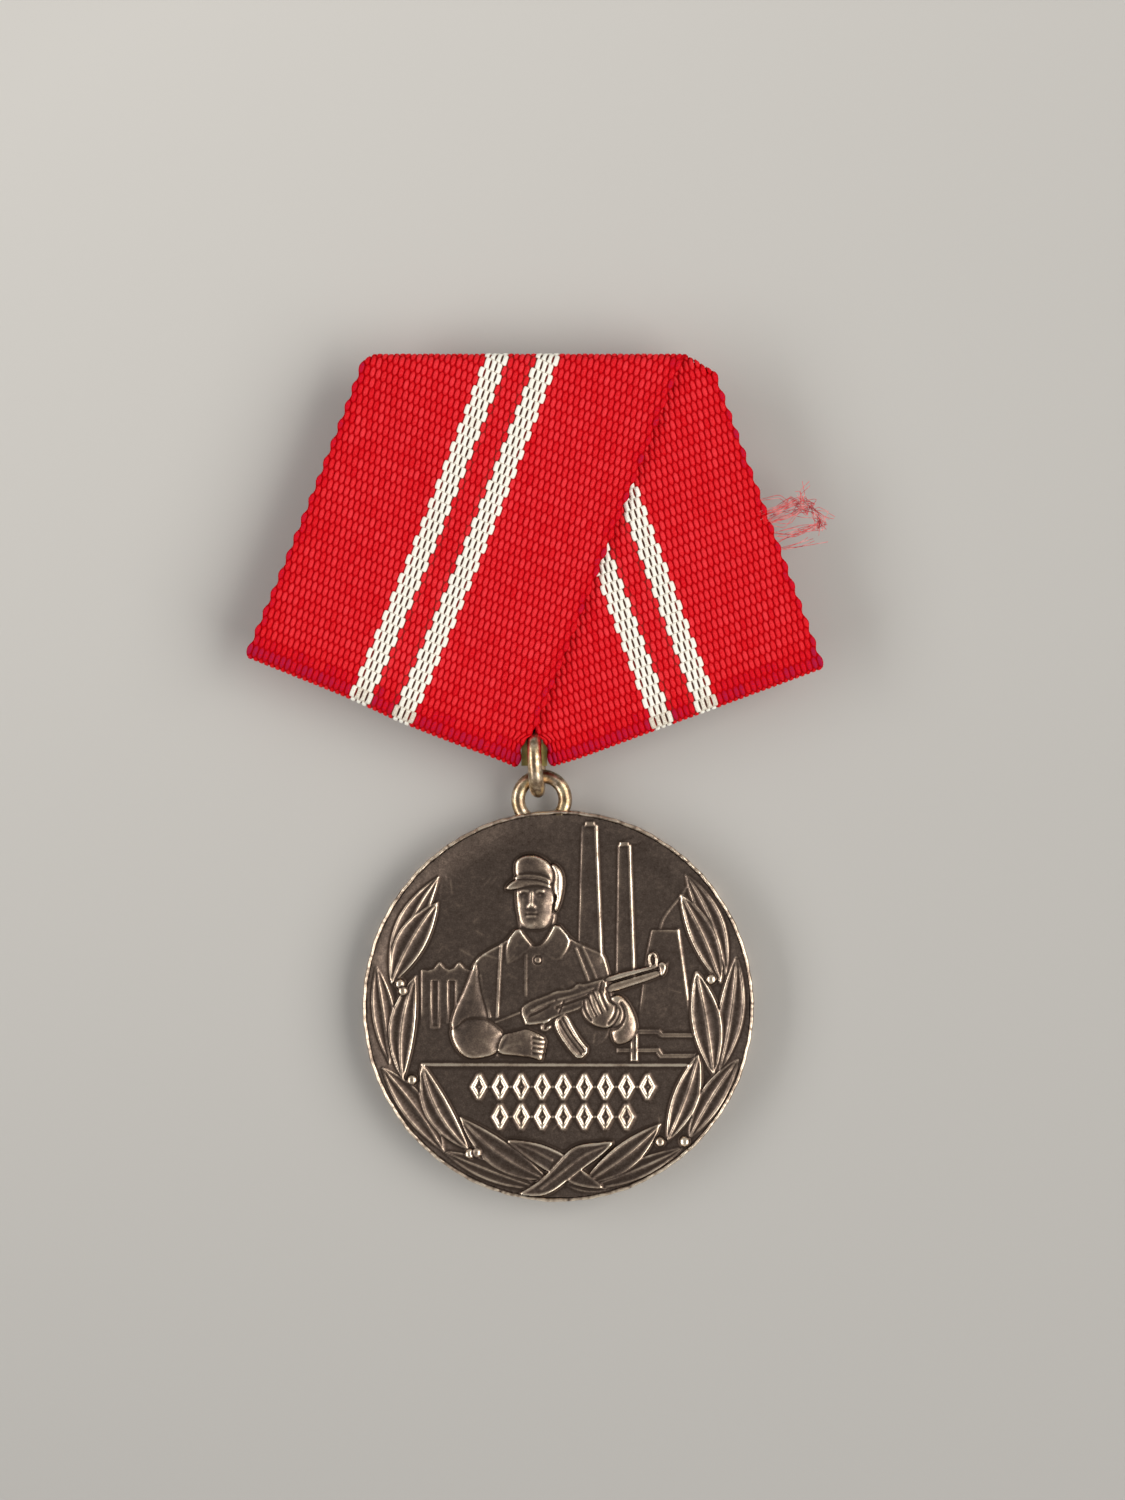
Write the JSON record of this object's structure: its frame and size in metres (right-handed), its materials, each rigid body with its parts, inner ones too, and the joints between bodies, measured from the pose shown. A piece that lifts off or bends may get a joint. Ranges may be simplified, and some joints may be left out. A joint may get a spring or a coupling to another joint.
{
  "type": "service medal",
  "caption": "Round struck medal hung by a wire eye and split ring from a pentagonal ribbon clasp with a brooch pin behind.",
  "frame": {"origin": "middle of the footprint, on the surface that the medal lies on, face up", "axes": "+Y from the disc to the top of the clasp, +Z out of the medal's face, +X to the wearer's left as seen from the front"},
  "size_m": [0.0512, 0.076, 0.0065],
  "materials": {
    "medal_bronze": "dark brown patina, satin, worn lighter on the raised edges",
    "ring_wire": "worn silvery brass wire",
    "carrier_brass": "dull yellow brass sheet",
    "ribbon_cloth": "corded red ribbon with two cream stripes",
    "back_aluminium": "dull rolled sheet",
    "pin_steel": "plain steel wire and stampings"
  },
  "bodies": {
    "clasp": {"carrier_plate": "carrier_brass", "ribbon": "ribbon_cloth", "back_plate": "back_aluminium", "plate_rivet_1": "back_aluminium", "plate_rivet_2": "back_aluminium", "plate_rivet_3": "back_aluminium", "hinge_bracket": "pin_steel", "bracket_rivet_1": "pin_steel", "bracket_rivet_2": "pin_steel", "hinge_axle": "pin_steel", "catch_hook": "pin_steel", "catch_rivet_1": "pin_steel", "catch_rivet_2": "pin_steel"},
    "needle": {"needle": "pin_steel"},
    "ring": {"suspension_ring": "ring_wire"},
    "medal": {"medal_disc": "medal_bronze", "medal_eye": "ring_wire"}
  },
  "joints": [
    {"name": "ring_turn", "type": "hinge", "parent": "clasp", "child": "ring", "pos_m": [0.0001, 0.00155, 0.00324], "axis": [1, 0, 0], "range_deg": [-85, 75]},
    {"name": "medal_swing", "type": "hinge", "parent": "ring", "child": "medal", "pos_m": [0.0001, -0.0009, 0.0021], "axis": [0, 0, 1], "range_deg": [-40, 40]},
    {"name": "needle_hinge", "type": "hinge", "parent": "clasp", "child": "needle", "pos_m": [-0.0135, 0.025, 0.0013], "axis": [0, 0.866, 0.5], "range_deg": [0, 60]}
  ]
}
